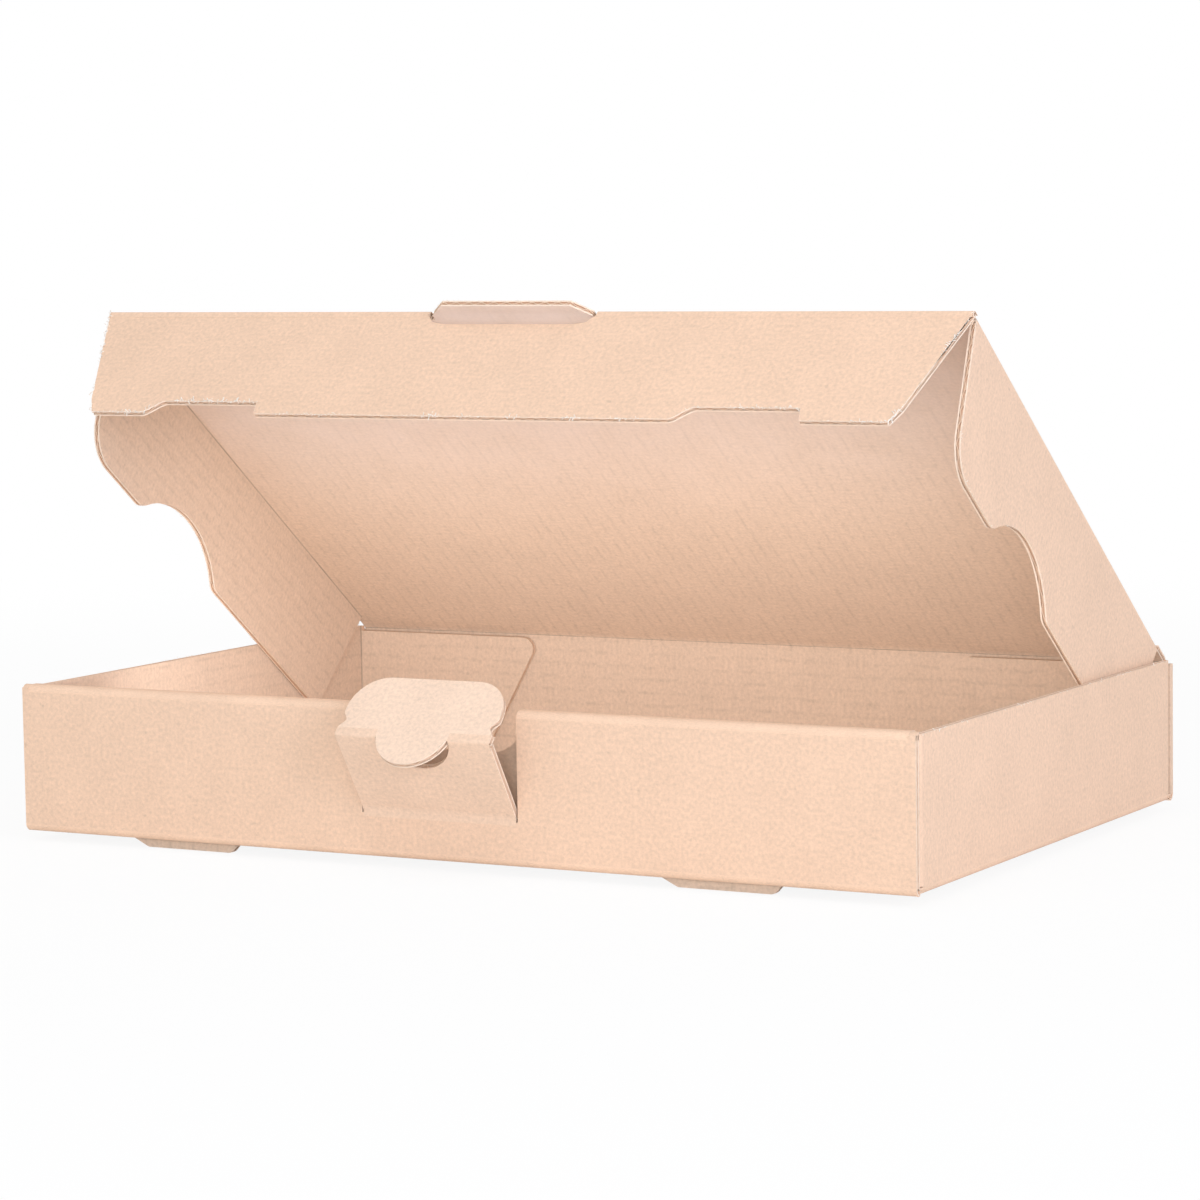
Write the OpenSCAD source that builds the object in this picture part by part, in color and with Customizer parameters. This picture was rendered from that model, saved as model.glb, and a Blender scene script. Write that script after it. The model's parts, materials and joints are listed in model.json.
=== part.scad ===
// Flat mailer box: one die-cut sheet of fine-fluted kraft board, folded up without glue.
// Millimetres. +Z is up, the front wall faces -Y, the origin is the middle of the floor's underside.
// It stands as put down half open: the lid raised and the front latch pulled out.

/* [Board] */
// Thickness of the fluted board
board = 1.5; // [1:0.1:1.8]
// Inside radius of a folded crease
fold_r = 0.25; // [0.1:0.05:0.35]
// Gap between plies that lie against each other
ply_gap = 0.15; // [0.1:0.05:0.3]
// Gap left along a crease that turns
crease_gap = 0.2; // [0.1:0.05:0.3]

/* [Tray] */
// Width over the side walls
box_w = 228; // [204:1:320]
// Depth from the front wall to the back wall
box_d = 149; // [130:1:220]
// Height of the front wall
box_h = 34.5; // [30:0.5:60]
// How far the cut tops of the side walls lie below the front wall's top
side_drop = 0.7; // [0.4:0.1:1.5]
// Length of a corner flap along its top
corner_flap_l = 56; // [30:1:68]
// How much shorter a corner flap is at its foot
corner_flap_slant = 17; // [5:1:24]
// Radius of a corner flap's free corners
corner_flap_r = 3; // [1:0.5:6]
// Clearance of the corner flaps below the closed lid and the rolled-over top
corner_flap_clear = 0.4; // [0.2:0.1:1]
// Sideways offset of the latch, the slot and the feet from the middle
pattern_off = -1; // [-4:0.5:4]

/* [Feet of the inner front panel] */
// Distance of each foot from the middle of the pattern
foot_x = 69; // [50:1:70]
// Length of a foot's lower edge
foot_l = 23; // [16:0.5:26]
// Run of the long slope on a foot's left end
foot_ramp = 8; // [4:0.5:10]
// Run of the short rounded slope on a foot's right end
foot_step = 3.5; // [2.5:0.5:5]
// How far the feet stand out below the floor
foot_drop = 2.2; // [1:0.1:3]
// Radius of a foot's lower corners
foot_r = 2; // [0.5:0.5:3]
// Clearance round a foot in its floor slot
foot_clear = 0.4; // [0.2:0.1:0.8]

/* [Front latch] */
// Height of the latch plate's crease above the base
latch_z = 10.9; // [8:0.1:14]
// Width of the latch plate
latch_w = 39.2; // [30:0.2:48]
// Clearance between the latch and its window
latch_clear = 0.4; // [0.2:0.1:0.8]
// How far the plate leans out of the front wall
latch_open = 32; // [0:1:90]
// Clearance of the tongue below the closed lid and above the slot's lower edge
tongue_clear = 0.25; // [0.15:0.05:0.5]
// Length of the tongue from its crease
tongue_l = 16.5; // [14:0.5:20]
// Depth of the notch at each side of the tongue's neck
neck_notch = 1.5; // [0.5:0.1:3]
// Distance of the neck's notches from the tongue's crease
neck_at = 3.6; // [3:0.1:5]
// Length of each slope of a neck notch
neck_slope = 2; // [1.5:0.1:2.5]
// Radius of the neck's corners
neck_r = 0.8; // [0.4:0.1:1.2]
// Radius of the tongue's outer corners
tongue_r = 8.5; // [4:0.5:10]
// How far the tongue is folded in from the plate
tongue_fold = 77; // [0:1:90]
// Half width of the thumb tab along the tongue's crease
thumb_half = 9; // [6:0.5:11]
// How far the thumb tab stands out past the crease
thumb_l = 7.5; // [5:0.5:8.5]
// Clearance round the thumb tab in the plate
thumb_clear = 0.4; // [0.2:0.1:0.8]

/* [Lid] */
// Clearance between the lid's side flaps and the side walls
lid_clear = 0.4; // [0.2:0.1:1]
// Clearance of the lid's front crease behind the front wall
lid_front_clear = 2.2; // [1.5:0.1:4]
// How far the lid stands open
lid_open = 37.5; // [0:0.5:120]
// Clearance of the lid's flaps above the floor when closed
flap_floor_clear = 0.7; // [0.4:0.1:2]
// How far a side flap starts from the lid's rear crease
ear_start = 5.5; // [4:0.5:10]
// Run of the slope on a side flap's rear end
ear_rear_slope = 5; // [2:0.5:12]
// Radius of a side flap's rear corner
ear_rear_r = 3; // [1:0.5:6]
// Clearance of a side flap's front end behind the lid panel's front end
ear_front_clear = 0.6; // [0.4:0.1:1.5]
// Run of the slope on a side flap's front end
ear_front_slope = 9.5; // [4:0.5:16]
// Radius of a side flap's front corner
ear_r = 11; // [4:0.5:13]
// Middle of the hollow in a side flap, behind the lid's front crease
scoop_at = 54; // [50:1:64]
// Length of that hollow along the flap's edge
scoop_l = 37.5; // [24:0.5:42]
// Depth of that hollow
scoop_d = 8.6; // [4:0.2:10]
// Radius of the hollow's two lips
scoop_lip_r = 4; // [1:0.5:5]

/* [Front flap and slot] */
// Clearance of the front flap's ends inside the lid's width
tuck_end_clear = 0.2; // [0.1:0.1:1]
// Angle between the lid and its front flap
tuck_angle = 98; // [78:1:140]
// How much narrower the front flap gets at each side towards its lower edge
tuck_taper = 8; // [4:0.5:14]
// Height of the clipped lower corners of the front flap
tuck_clip = 4; // [2:0.5:6]
// Depth of the notches in the front flap's lower edge
notch_d = 3.6; // [2:0.1:5]
// Length of a notch's upper edge
notch_l = 25; // [18:0.5:28]
// Run of the curved ramp at a notch's left end
notch_ramp = 6; // [4:0.5:8]
// Height of the slanted corners at the slot's lower edge
slot_corner = 0.6; // [0.3:0.1:0.8]
// Half width of the slot along the lid's front crease
slot_half = 21.8; // [18:0.2:26]
// Length of the tab that stands out over the slot
tab_l = 3.8; // [2.5:0.1:4.2]
// How much the tab narrows at each side
tab_taper = 4; // [2:0.5:6]
// How much narrower the tab's root is than the slot at each side
tab_clear = 1; // [0.6:0.1:2]

/* [Hidden] */
$fn = 48;
kraft = [0.83, 0.66, 0.50];
fold_out = board + fold_r;                                 // outside radius of a fold
front_t = 3 * board + 2 * ply_gap;                         // outer panel, corner flap and inner panel
side_h = box_h - side_drop;
pivot_y = box_d / 2 - board / 2;                           // lid crease, in the middle of the board
pivot_z = box_h - board / 2;
back_top = pivot_z - board / 2 - crease_gap;
inner_half = box_w / 2 - board - 2 * ply_gap;              // half width of the rolled-over inner panel
inner_y = -box_d / 2 + front_t - board / 2;                // its middle plane
inner_foot = board + ply_gap;                              // its lower edge, on the floor
foot_h = inner_foot + foot_drop;
lid_w = box_w - 2 * board - 2 * lid_clear;
lid_l = box_d - front_t - lid_front_clear;                 // outer rear crease to outer front crease
tuck_u = lid_l - board;                                    // from the rear crease's axis to the front one's
panel_u = tuck_u - board / 2 - crease_gap;                 // front end of the lid panel
ear_w = box_h - board - flap_floor_clear;                  // side flap, from the lid's outer face
ear_front = panel_u - ear_front_clear;                     // front end of a side flap's crease
tuck_l = ear_w - board / 2;                                // front flap, from its crease's axis
tuck_half = lid_w / 2 - tuck_end_clear;
latch_top = box_h - board - tongue_clear;                  // outer face of the folded-in tongue
plate_l = latch_top - board / 2 - latch_z;                 // between the latch's two creases
window_half = latch_w / 2 + latch_clear;
window_z = latch_z - board / 2 - crease_gap;
tongue_end = tongue_l - board / 2;
tongue_window = box_h - (tongue_l - (box_h - latch_top) - front_t);  // where its tip lay in the inner panel
slot_edge = 2 * board + 2 * tongue_clear;                  // slot's lower edge, from the crease's axis
thumb_r = (thumb_half * thumb_half + thumb_l * thumb_l) / (2 * thumb_l);

// A corner b between a and c, rounded to radius r as a short run of points.
function unit(v) = v / norm(v);
function fillet(a, b, c, r, steps = 8) =
    let (u = unit(a - b), v = unit(c - b), half = acos(u * v) / 2,
         middle = b + unit(u + v) * r / sin(half),
         from = b + u * r / tan(half) - middle,
         turn = (180 - 2 * half) * sign(u.x * v.y - u.y * v.x))
    [for (i = [0 : steps])
        let (t = -turn * i / steps)
        middle + [from.x * cos(t) - from.y * sin(t), from.x * sin(t) + from.y * cos(t)]];

// An outline whose points are [x, y, radius], with each corner rounded by its own radius.
function rounded(p) = [
    for (i = [0 : len(p) - 1])
        let (a = p[(i + len(p) - 1) % len(p)], b = p[i], c = p[(i + 1) % len(p)])
        each b.z == 0 ? [[b.x, b.y]] : fillet([a.x, a.y], [b.x, b.y], [c.x, c.y], b.z)];

// The part of a circle of radius r about m, as points from angle a0 to a1.
function arc(m, r, a0, a1, steps = 16) =
    [for (i = [0 : steps]) let (t = a0 + (a1 - a0) * i / steps) m + r * [cos(t), sin(t)]];

// A shape drawn in y and z and run along x for a length.
module along_x(length) {
    rotate([90, 0, 90]) linear_extrude(height = length, center = true) children();
}

// A shape drawn in x and z and run along y for a length, or for the board's thickness.
module along_y(length = board) {
    rotate([90, 0, 0]) linear_extrude(height = length, center = true) children();
}

// Section of a right-angle fold, in the first quadrant about the fold's centre.
module fold_section() {
    intersection() {
        difference() {
            circle(r = fold_out);
            circle(r = fold_r);
        }
        square(fold_out);
    }
}

// Turned crease: the round edge of a panel along its axis.
module crease_roll(half) {
    along_x(2 * half) circle(d = board);
}

// Frames of the moving panels, each at the middle of its crease.
module at_lid() {
    translate([0, pivot_y, pivot_z]) rotate([-lid_open, 0, 0]) children();
}
module at_tuck() {
    at_lid() translate([0, -tuck_u, 0]) rotate([90 - tuck_angle, 0, 0]) children();
}
module at_latch() {
    translate([pattern_off, -box_d / 2 + board / 2, latch_z]) rotate([latch_open, 0, 0]) children();
}
module at_tongue() {
    at_latch() translate([0, 0, plate_l]) rotate([-tongue_fold, 0, 0]) children();
}

// Tray: floor, back wall and the outer front panel in one long strip.
module long_strip() {
    fold_y = box_d / 2 - fold_out;
    along_x(box_w) {
        translate([fold_y, fold_out]) rotate(-90) fold_section();
        translate([-fold_y, fold_out]) rotate(180) fold_section();
        translate([box_d / 2 - board, fold_out]) square([board, back_top - fold_out]);
        translate([-box_d / 2, fold_out]) square([board, box_h - 2 * fold_out]);
    }
    difference() {
        translate([-box_w / 2 + fold_out, -fold_y, 0]) cube([box_w - 2 * fold_out, 2 * fold_y, board]);
        for (side = [-1, 1]) foot_slot(pattern_off + side * foot_x);
    }
    raw_foot = box_h - fold_out - ply_gap;
    for (side = [0, 1])
        mirror([side, 0, 0]) translate([inner_half, -box_d / 2, raw_foot])
            cube([box_w / 2 - inner_half, board, side_h - raw_foot]);
}

// Slot in the floor that a foot of the inner panel goes through.
module foot_slot(x) {
    left = foot_l / 2 + foot_ramp + foot_clear;
    right = foot_l / 2 + foot_step + foot_clear;
    translate([x - left, inner_y - board / 2 - foot_clear, -1])
        cube([left + right, board + 2 * foot_clear, board + 2]);
}

// Inner front panel, rolled over the top of the front wall, its feet through the floor.
module rollover() {
    top_y = -box_d / 2 + fold_out;
    back_y = -box_d / 2 + front_t - fold_out;
    along_x(2 * inner_half) {
        translate([top_y, box_h - fold_out]) rotate(90) fold_section();
        translate([top_y, box_h - board]) square([back_y - top_y, board]);
        translate([back_y, box_h - fold_out]) fold_section();
        translate([inner_y - board / 2, inner_foot]) square([board, box_h - fold_out - inner_foot]);
    }
    for (side = [-1, 1])
        translate([pattern_off + side * foot_x, inner_y, inner_foot]) along_y() foot_outline();
}

// A foot, hanging from the panel's lower edge: long slope on the left, rounded step on the right.
module foot_outline() {
    polygon(rounded([
        [-foot_l / 2 - foot_ramp, 0, 0],
        [-foot_l / 2, -foot_h, foot_r],
        [foot_l / 2, -foot_h, foot_r],
        [foot_l / 2 + foot_step, 0, 0]]));
}

// One side wall with its bottom fold and its two corner flaps.
module side_wall() {
    fold_x = box_w / 2 - fold_out;
    turn_y = box_d / 2 - board - ply_gap - fold_out;
    wall_foot = fold_out + ply_gap;
    along_y(box_d - 2 * fold_out) translate([fold_x, fold_out]) rotate(-90) fold_section();
    translate([box_w / 2 - board, -turn_y, fold_out]) cube([board, 2 * turn_y, side_h - fold_out]);
    for (end = [-1, 1])
        at_end(end) {
            translate([fold_x, turn_y, wall_foot])
                linear_extrude(height = side_h - wall_foot) fold_section();
            translate([0, turn_y + fold_out - board / 2, 0]) along_y()
                corner_flap_outline(fold_x, box_h - board - corner_flap_clear);
        }
}

// The rear end of a side wall as drawn, or its front end as the mirror image.
module at_end(end) {
    if (end < 0) mirror([0, 1, 0]) children();
    else children();
}

// A corner flap from its fold at x inwards, shorter at its foot than along its top.
module corner_flap_outline(x, top) {
    low = fold_out + ply_gap;
    free_top = box_w / 2 - corner_flap_l;
    polygon(rounded([
        [x, low, 0],
        [x, top, 0],
        [free_top, top, corner_flap_r],
        [free_top + corner_flap_slant, low, corner_flap_r]]));
}

// Opening of the latch: its plate out of the outer panel, its tongue out of the rolled-over panel.
module latch_window() {
    top = box_h + 1;
    translate([pattern_off - window_half, -box_d / 2 - 1, window_z])
        cube([2 * window_half, board + 1 + ply_gap / 2, top - window_z]);
    translate([pattern_off, inner_y, 0]) along_y(2 * front_t)
        polygon(rounded([
            [-window_half, tongue_window, tongue_r],
            [window_half, tongue_window, tongue_r],
            [window_half, top, 0],
            [-window_half, top, 0]]));
}

module tray() {
    color(kraft) difference() {
        union() {
            long_strip();
            rollover();
            side_wall();
            mirror([1, 0, 0]) side_wall();
        }
        latch_window();
    }
}

// A hollow of depth d and length l in an edge at height low, about m, its lips rounded to radius q.
function scoop(m, low, l, d, q) =
    let (r = (l * l / 4 + d * d) / (2 * d), drop = d - r, reach = sqrt(pow(r + q, 2) - pow(drop - q, 2)),
         lean = atan2(q - drop, reach))
    concat(
        arc([m + reach, low + q], q, -90, lean - 180, 6),
        arc([m, low + drop], r, lean, 180 - lean),
        arc([m - reach, low + q], q, -lean, -90, 6));

// Outline of a lid side flap, in the distance from the rear crease and the height from the lid's middle.
module ear_outline() {
    low = -ear_w + board / 2;
    root = board / 2 - fold_out;
    rear = [-ear_start, root];
    rear_low = [-ear_start - ear_rear_slope, low];
    front_low = [-ear_front + ear_front_slope, low];
    front = [-ear_front, root];
    polygon(concat(
        [rear],
        fillet(rear, rear_low, front_low, ear_rear_r),
        scoop(-tuck_u + scoop_at, low, scoop_l, scoop_d, scoop_lip_r),
        fillet(rear_low, front_low, front, ear_r),
        [front]));
}

module lid() {
    color(kraft) at_lid() {
        crease_roll(lid_w / 2);
        panel_half = lid_w / 2 - fold_out;
        translate([-panel_half, -panel_u, -board / 2]) cube([2 * panel_half, panel_u, board]);
        translate([-lid_w / 2, -ear_start + crease_gap, -board / 2])
            cube([lid_w, ear_start - crease_gap, board]);
        slot_tab();
        lid_ear();
        mirror([1, 0, 0]) lid_ear();
    }
}

// Tab of the lid panel that stays flat over the slot when the front flap is folded down.
module slot_tab() {
    root = slot_half - tab_clear;
    end = tuck_u + board / 2 + tab_l;
    translate([pattern_off, 0, -board / 2]) linear_extrude(height = board)
        polygon([
            [-root, -panel_u + 1], [-root, -tuck_u - board / 2],
            [-root + tab_taper, -end], [root - tab_taper, -end],
            [root, -tuck_u - board / 2], [root, -panel_u + 1]]);
}

// Right-hand side flap of the lid, with its fold.
module lid_ear() {
    fold_x = lid_w / 2 - fold_out;
    middle = (ear_start + ear_front) / 2;
    translate([0, -middle, 0]) along_y(ear_front - ear_start)
        translate([fold_x, board / 2 - fold_out]) fold_section();
    translate([lid_w / 2 - board / 2, 0, 0]) along_x(board) ear_outline();
}

// Front flap of the lid: clipped ends, two notches in its lower edge, the slot at its crease.
module tuck_outline() {
    low = tuck_half - tuck_taper;
    difference() {
        polygon([
            [-tuck_half, 0], [-low, -tuck_l + tuck_clip], [-low + tuck_clip / 2, -tuck_l],
            [low - tuck_clip / 2, -tuck_l], [low, -tuck_l + tuck_clip], [tuck_half, 0]]);
        for (side = [-1, 1])
            translate([pattern_off + side * foot_x, -tuck_l]) notch_outline();
        translate([pattern_off, 0]) slot_outline();
    }
}

// A notch that a foot leaves in the next blank: curved ramp on the left, sharp step on the right.
module notch_outline() {
    polygon(concat(
        [[-notch_l / 2 - notch_ramp, -1]],
        [for (i = [0 : 8])
            let (t = i / 8)
            [-notch_l / 2 - notch_ramp * (1 - t), notch_d * t * t * (3 - 2 * t)]],
        [[notch_l / 2, notch_d], [notch_l / 2 + 1, -1]]));
}

module slot_outline() {
    end_half = slot_half - tab_clear - tab_taper;
    polygon([
        [-slot_half, board], [-slot_half, -board / 2],
        [-window_half, -slot_edge + slot_corner], [-end_half, -slot_edge],
        [end_half, -slot_edge], [window_half, -slot_edge + slot_corner],
        [slot_half, -board / 2], [slot_half, board]]);
}

module tuck_flap() {
    color(kraft) at_tuck() {
        along_y() tuck_outline();
        difference() {
            crease_roll(tuck_half);
            translate([pattern_off, 0, 0]) cube([2 * slot_half, 2 * board, 2 * board], center = true);
        }
    }
}

module latch_plate() {
    color(kraft) at_latch() {
        crease_roll(latch_w / 2);
        along_y() difference() {
            translate([-latch_w / 2, 0]) square([latch_w, plate_l - board / 2 - crease_gap]);
            translate([0, plate_l + thumb_r - thumb_l]) circle(r = thumb_r + thumb_clear);
        }
    }
}

// Tongue with its neck notches, and the thumb tab that swings out as the tongue folds in.
module latch_tongue() {
    half = latch_w / 2;
    color(kraft) at_tongue() {
        crease_roll(half);
        along_y() {
            polygon(rounded([
                [-half, 0, 0], [half, 0, 0],
                [half, neck_at - neck_slope, neck_r], [half - neck_notch, neck_at, neck_r],
                [half, neck_at + neck_slope, neck_r], [half, tongue_end, tongue_r],
                [-half, tongue_end, tongue_r], [-half, neck_at + neck_slope, neck_r],
                [-half + neck_notch, neck_at, neck_r], [-half, neck_at - neck_slope, neck_r]]));
            intersection() {
                translate([0, thumb_r - thumb_l]) circle(r = thumb_r);
                translate([-half, -thumb_l]) square([2 * half, thumb_l]);
            }
        }
    }
}

tray();
lid();
tuck_flap();
latch_plate();
latch_tongue();
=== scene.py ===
import json
from math import ceil, cos, floor, pi, radians, sin, tan

import bmesh
import bpy
from mathutils import Matrix, Vector
from mathutils.bvhtree import BVHTree


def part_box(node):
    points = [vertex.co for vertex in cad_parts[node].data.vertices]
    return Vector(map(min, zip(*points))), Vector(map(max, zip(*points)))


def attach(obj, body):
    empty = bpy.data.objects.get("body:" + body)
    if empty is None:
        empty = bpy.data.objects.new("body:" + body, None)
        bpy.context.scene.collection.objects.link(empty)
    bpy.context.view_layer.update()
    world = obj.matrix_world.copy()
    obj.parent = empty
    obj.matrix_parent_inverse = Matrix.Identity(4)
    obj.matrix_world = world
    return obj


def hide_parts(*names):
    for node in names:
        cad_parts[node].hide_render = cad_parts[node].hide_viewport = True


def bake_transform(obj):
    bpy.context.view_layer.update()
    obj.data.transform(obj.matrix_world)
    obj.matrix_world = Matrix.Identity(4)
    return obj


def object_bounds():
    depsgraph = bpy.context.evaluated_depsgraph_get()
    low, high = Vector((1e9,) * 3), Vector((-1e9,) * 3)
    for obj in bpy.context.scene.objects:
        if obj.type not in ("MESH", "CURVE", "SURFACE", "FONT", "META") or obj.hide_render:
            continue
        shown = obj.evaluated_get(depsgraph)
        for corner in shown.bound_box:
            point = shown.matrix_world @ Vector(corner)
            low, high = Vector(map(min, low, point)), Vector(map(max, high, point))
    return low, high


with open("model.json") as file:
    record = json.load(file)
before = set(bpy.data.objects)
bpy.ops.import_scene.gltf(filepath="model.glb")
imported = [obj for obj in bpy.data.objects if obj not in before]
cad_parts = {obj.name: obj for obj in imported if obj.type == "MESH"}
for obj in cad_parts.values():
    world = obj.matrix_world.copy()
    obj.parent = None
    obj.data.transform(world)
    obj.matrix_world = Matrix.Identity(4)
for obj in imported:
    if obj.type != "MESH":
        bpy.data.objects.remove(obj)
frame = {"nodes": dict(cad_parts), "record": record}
cad_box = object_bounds()
scene = bpy.context.scene
scene.view_settings.view_transform = "Standard"

# The box as the photographer saw it: from the front right and a little above, with a long lens.
# The eye and the three turns were solved from the box's corners in the 1200-pixel picture.
PHOTO_PIXELS = 1200
FOCAL_PIXELS = 3990
SENSOR = 36.0
EYE = Vector((0.45059, -0.81968, 0.14295))
AZIMUTH, ELEVATION, ROLL = radians(28.836), radians(5.604), radians(-0.897)
NEAREST, FARTHEST = 0.05, 20

camera_data = bpy.data.cameras.new("camera")
camera_data.sensor_width = SENSOR
camera_data.lens = FOCAL_PIXELS / PHOTO_PIXELS * SENSOR
camera_data.clip_start, camera_data.clip_end = NEAREST, FARTHEST
camera = bpy.data.objects.new("camera", camera_data)
ahead = Vector((-sin(AZIMUTH) * cos(ELEVATION), cos(AZIMUTH) * cos(ELEVATION), -sin(ELEVATION)))
level_right = ahead.cross(Vector((0, 0, 1))).normalized()
level_up = level_right.cross(ahead)
right = cos(ROLL) * level_right + sin(ROLL) * level_up
up = right.cross(ahead)
turn = Matrix((right, up, -ahead)).transposed().to_4x4()
camera.matrix_world = Matrix.Translation(EYE) @ turn
scene.collection.objects.link(camera)
scene.camera = camera

# Kraft paper: two brown liners glued to a wavy medium make the board. The fibres lie across the flutes, and
# the flutes' glue lines show through the liners. Folds are painted a little paler on the outside, partly wear
# and partly painted highlight, and darker on the inside, as painted shade in the creases. A die-cut edge is
# paler than the face.
OUTSIDE_KRAFT = (0.79, 0.56, 0.41, 1)
INSIDE_KRAFT = (0.72, 0.565, 0.445, 1)
RAW_EDGE = (0.86, 0.70, 0.57, 1)
MEDIUM_KRAFT = (0.74, 0.54, 0.40, 1)
OUTSIDE_ROUGH, INSIDE_ROUGH, EDGE_ROUGH, MEDIUM_ROUGH = 0.82, 0.88, 0.95, 0.92
# Fold tone of each look: the outside's folds are painted a little paler, partly wear and partly painted
# highlight; the inside's folds are painted darker, as painted shade in the creases.
OUTSIDE_LOOK = {"glue": 0.01, "washboard": 0.12, "fold_wear_and_shade": 0.05}
INSIDE_LOOK = {"glue": 0.09, "washboard": 0.6, "streak": 0.14, "fold_wear_and_shade": -0.3}
GRAIN_SCALE, CLOUD_SCALE, SPECK_SCALE = 1150, 85, 620
FIBRE_STRETCH = (190, 1300, 190)
SPECK_FROM, SPECK_FULL = 0.71, 0.80
FLUTE_PITCH = 0.0033
WANDER_SCALE, WANDER_SHARE = 45, 0.35
GLUE_STRETCH = (620, 240, 620)
GLUE_NARROW = 5.0
GLUE_FROM, GLUE_FULL = 0.40, 0.62
FIBRE_RELIEF = 0.3
BUMP_STRENGTH, BUMP_DEPTH = 0.4, 0.00012
SHEEN = 0.25
# Shape of the painted pool of light on the lid's lining: how far it is squeezed sideways, and how soft its side
# edge is.
LIGHT_POOL_ALONG = 0.25
LIGHT_POOL_BLUR = 0.001
FLOAT, VECTOR = "NodeSocketFloat", "NodeSocketVector"


def node(tree, kind, sockets=None, **settings):
    """A node of a tree with its settings and its inputs, each a plain value or the output that feeds it."""
    made = tree.nodes.new(kind)
    for name, value in settings.items():
        setattr(made, name, value)
    for name, value in (sockets or {}).items():
        if isinstance(value, bpy.types.NodeSocket):
            tree.links.new(value, made.inputs[name])
        else:
            made.inputs[name].default_value = value
    return made


def math(tree, operation, a, b=0.0):
    """The output of one Math node."""
    return node(tree, "ShaderNodeMath", {0: a, 1: b}, operation=operation).outputs[0]


def shader_group(name, inputs, outputs):
    """An empty shader node group with its sockets, and its two end nodes."""
    tree = bpy.data.node_groups.new(name, "ShaderNodeTree")
    for label, kind, value in inputs:
        socket = tree.interface.new_socket(label, in_out="INPUT", socket_type=kind)
        if value is not None:
            socket.default_value = value
    for label, kind in outputs:
        tree.interface.new_socket(label, in_out="OUTPUT", socket_type=kind)
    return tree, node(tree, "NodeGroupInput"), node(tree, "NodeGroupOutput")


# Fibres, streaks, clouds and flecks of the paper, as a tone about 1 and a height.
fibres, given, result = shader_group(
    "paper_fibres",
    [("Sheet", VECTOR, None), ("Grain", FLOAT, 0.10), ("Streak", FLOAT, 0.10), ("Cloud", FLOAT, 0.11),
     ("Fleck", FLOAT, 0.10)],
    [("Tone", FLOAT), ("Height", FLOAT), ("Cloud", FLOAT)])
fine = node(fibres, "ShaderNodeTexNoise", {"Vector": given.outputs["Sheet"], "Scale": GRAIN_SCALE,
                                           "Detail": 4.0, "Roughness": 0.65})
stretched = node(fibres, "ShaderNodeMapping", {"Vector": given.outputs["Sheet"], "Scale": FIBRE_STRETCH})
streaks = node(fibres, "ShaderNodeTexNoise", {"Vector": stretched.outputs[0], "Scale": 1.0, "Detail": 2.0})
place = node(fibres, "ShaderNodeTexCoord")
clouds = node(fibres, "ShaderNodeTexNoise", {"Vector": place.outputs["Object"], "Scale": CLOUD_SCALE,
                                             "Detail": 5.0})
specks = node(fibres, "ShaderNodeTexNoise", {"Vector": place.outputs["Object"], "Scale": SPECK_SCALE,
                                             "Detail": 1.0})
speck_mask = node(fibres, "ShaderNodeMapRange", {"Value": specks.outputs["Fac"], "From Min": SPECK_FROM,
                                                 "From Max": SPECK_FULL}).outputs[0]
tone = 1.0
for wave, share in ((fine, "Grain"), (streaks, "Streak"), (clouds, "Cloud")):
    swing = math(fibres, "SUBTRACT", wave.outputs["Fac"], 0.5)
    tone = math(fibres, "ADD", tone, math(fibres, "MULTIPLY", swing, given.outputs[share]))
tone = math(fibres, "SUBTRACT", tone, math(fibres, "MULTIPLY", speck_mask, given.outputs["Fleck"]))
relief = math(fibres, "ADD", fine.outputs["Fac"], streaks.outputs["Fac"])
fibres.links.new(tone, result.inputs["Tone"])
fibres.links.new(relief, result.inputs["Height"])
fibres.links.new(clouds.outputs["Fac"], result.inputs["Cloud"])

# Flutes under a liner: a soft wave across the sheet, and the broken darker glue lines along its crests.
flutes, given, result = shader_group(
    "flute_lines",
    [("Sheet", VECTOR, None), ("Pitch", FLOAT, FLUTE_PITCH)],
    [("Wave", FLOAT), ("Glue", FLOAT)])
wander = node(flutes, "ShaderNodeTexNoise", {"Vector": given.outputs["Sheet"], "Scale": WANDER_SCALE,
                                             "Detail": 1.0})
across = node(flutes, "ShaderNodeSeparateXYZ", {0: given.outputs["Sheet"]}).outputs[0]
turns = math(flutes, "DIVIDE", across, given.outputs["Pitch"])
turns = math(flutes, "ADD", turns, math(flutes, "MULTIPLY", wander.outputs["Fac"], WANDER_SHARE))
wave = math(flutes, "SINE", math(flutes, "MULTIPLY", turns, 2 * pi))
wave = math(flutes, "ADD", math(flutes, "MULTIPLY", wave, 0.5), 0.5)
dashes = node(flutes, "ShaderNodeMapping", {"Vector": given.outputs["Sheet"], "Scale": GLUE_STRETCH})
broken = node(flutes, "ShaderNodeTexNoise", {"Vector": dashes.outputs[0], "Scale": 1.0, "Detail": 2.0})
breaks = node(flutes, "ShaderNodeMapRange", {"Value": broken.outputs["Fac"], "From Min": GLUE_FROM,
                                             "From Max": GLUE_FULL}).outputs[0]
glue_lines = math(flutes, "MULTIPLY", math(flutes, "POWER", wave, GLUE_NARROW), breaks)
flutes.links.new(wave, result.inputs["Wave"])
flutes.links.new(glue_lines, result.inputs["Glue"])


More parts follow.
